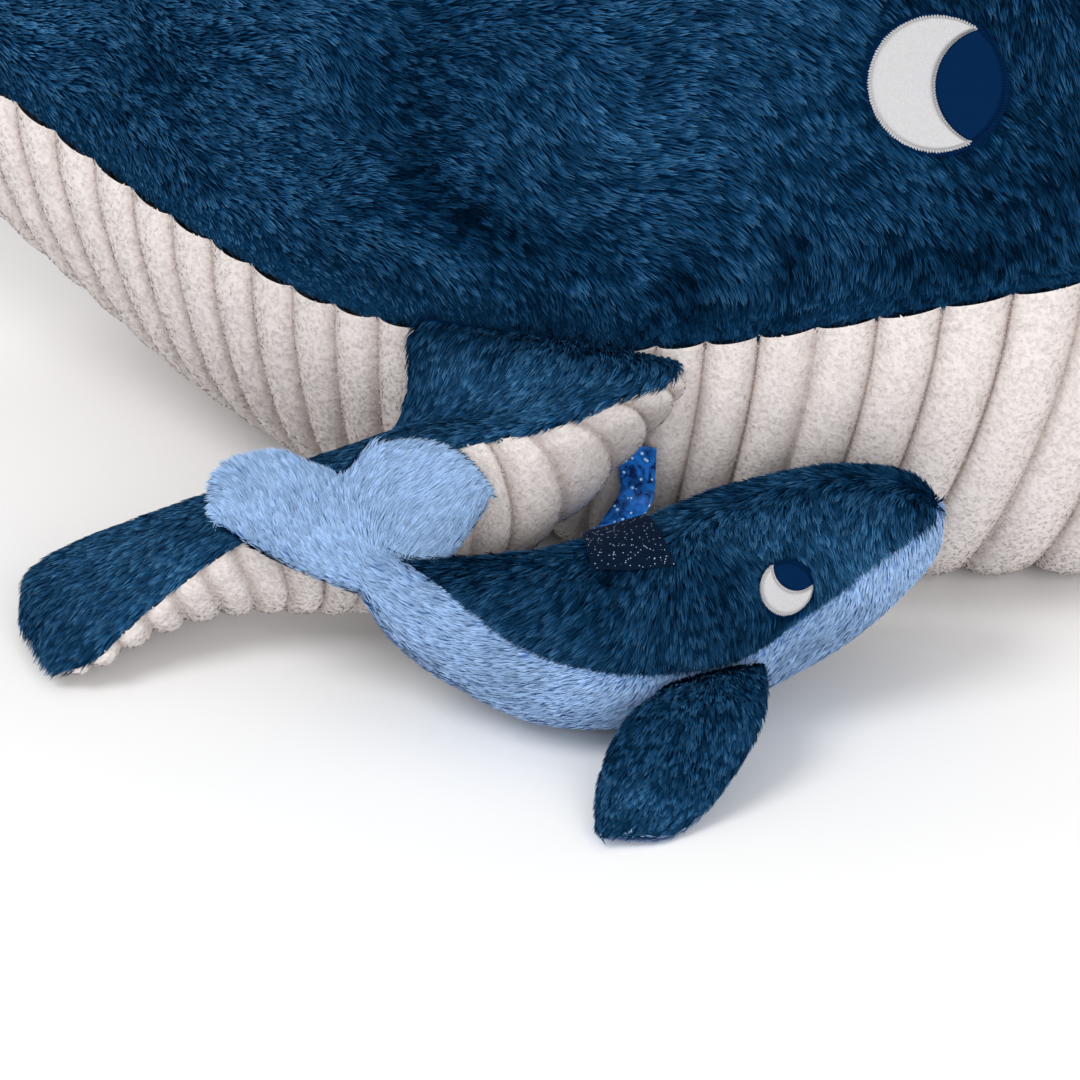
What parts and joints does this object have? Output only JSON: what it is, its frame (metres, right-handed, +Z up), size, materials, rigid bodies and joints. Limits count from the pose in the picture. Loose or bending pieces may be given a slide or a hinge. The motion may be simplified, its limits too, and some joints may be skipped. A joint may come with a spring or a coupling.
{
  "type": "activity soft toy",
  "caption": "Plush whale with a ribbed belly, flippers and a crinkle tail, and a small plush whale tied on by a ribbon.",
  "frame": {"origin": "on the ground under the whale's belly, in its middle plane, level with the widest part of the body", "axes": "+X towards the whale's nose, +Y towards the whale's left flipper, +Z up"},
  "size_m": [0.6248, 0.4156, 0.2146],
  "materials": {
    "navy_plush": "soft long pile plush",
    "cream_ribbed_plush": "ribbed short pile plush",
    "light_blue_plush": "soft pile plush",
    "white_felt": "pressed felt",
    "dark_felt": "pressed felt",
    "stuffing": "polyester fibre filling",
    "crinkle_film": "thin crisp film",
    "rattle_plastic": "plain moulded plastic",
    "satin_ribbon": "satin with a dotted pattern",
    "glitter_fabric": "dark woven fabric with fine glitter"
  },
  "bodies": {
    "body": {"body_back_panel": "navy_plush", "body_belly_panel": "cream_ribbed_plush", "body_filling": "stuffing", "rattle_cup": "rattle_plastic", "rattle_lid": "rattle_plastic", "rattle_ball_1": "rattle_plastic", "rattle_ball_2": "rattle_plastic", "rattle_ball_3": "rattle_plastic", "eye_white_right": "white_felt", "eye_dark_right": "dark_felt", "eye_white_left": "white_felt", "eye_dark_left": "dark_felt"},
    "tail": {"tail_back_panel": "navy_plush", "tail_belly_panel": "cream_ribbed_plush", "tail_filling": "stuffing"},
    "flukes": {"flukes_top": "navy_plush", "flukes_under": "cream_ribbed_plush", "crinkle_film": "crinkle_film"},
    "flipper_right": {"flipper_right_top": "navy_plush", "flipper_right_under": "cream_ribbed_plush", "flipper_right_filling": "stuffing"},
    "flipper_left": {"flipper_left_top": "navy_plush", "flipper_left_under": "cream_ribbed_plush", "flipper_left_filling": "stuffing"},
    "ribbon": {"ribbon": "satin_ribbon"},
    "small_whale": {"small_back_panel": "navy_plush", "small_belly_panel": "light_blue_plush", "small_filling": "stuffing", "small_eye_white_right": "white_felt", "small_eye_dark_right": "dark_felt", "small_eye_white_left": "white_felt", "small_eye_dark_left": "dark_felt", "ribbon_patch": "glitter_fabric"},
    "small_tail": {"small_tail_back": "navy_plush", "small_tail_belly": "light_blue_plush", "small_tail_filling": "stuffing", "small_flukes_back": "navy_plush", "small_flukes_under": "light_blue_plush"},
    "small_fin_right": {"small_fin_right_top": "navy_plush", "small_fin_right_under": "light_blue_plush"},
    "small_fin_left": {"small_fin_left_top": "navy_plush", "small_fin_left_under": "light_blue_plush"}
  },
  "joints": [
    {"name": "tail_bend", "type": "hinge", "parent": "body", "child": "tail", "pos_m": [-0.192, 0, 0.124], "axis": [0, 1, 0], "range_deg": [-20, 20], "stiffness_Nm_per_rad": 4},
    {"name": "flukes_bend", "type": "hinge", "parent": "tail", "child": "flukes", "pos_m": [-0.336, 0, 0.15194], "axis": [0, 1, 0], "range_deg": [-25, 25], "stiffness_Nm_per_rad": 0.5},
    {"name": "flipper_right_lift", "type": "hinge", "parent": "body", "child": "flipper_right", "pos_m": [0, -0.118, 0.083], "axis": [-1, 0, 0], "range_deg": [0, 40]},
    {"name": "flipper_left_lift", "type": "hinge", "parent": "body", "child": "flipper_left", "pos_m": [0, 0.118, 0.083], "axis": [1, 0, 0], "range_deg": [0, 40]},
    {"name": "ribbon_swing", "type": "hinge", "parent": "flipper_right", "child": "ribbon", "pos_m": [0.0241, -0.1193, 0.0572], "axis": [-1, 0, 0], "range_deg": [0, 25]},
    {"name": "small_whale_swing", "type": "hinge", "parent": "ribbon", "child": "small_whale", "pos_m": [0.0241, -0.147, 0.0484], "axis": [-1, 0, 0], "range_deg": [0, 15]},
    {"name": "small_tail_bend", "type": "hinge", "parent": "small_whale", "child": "small_tail", "pos_m": [-0.0234, -0.1737, 0.0353], "axis": [0.5029, -0.2739, 0.8198], "range_deg": [0, 20], "stiffness_Nm_per_rad": 0.05},
    {"name": "small_fin_right_lift", "type": "hinge", "parent": "small_whale", "child": "small_fin_right", "pos_m": [0.0593, -0.1765, 0.0275], "axis": [-0.8449, -0.5256, -0.0991], "range_deg": [0, 45]},
    {"name": "small_fin_left_lift", "type": "hinge", "parent": "small_whale", "child": "small_fin_left", "pos_m": [0.0305, -0.1315, 0.0265], "axis": [0.7742, 0.5608, 0.2934], "range_deg": [0, 10]}
  ]
}
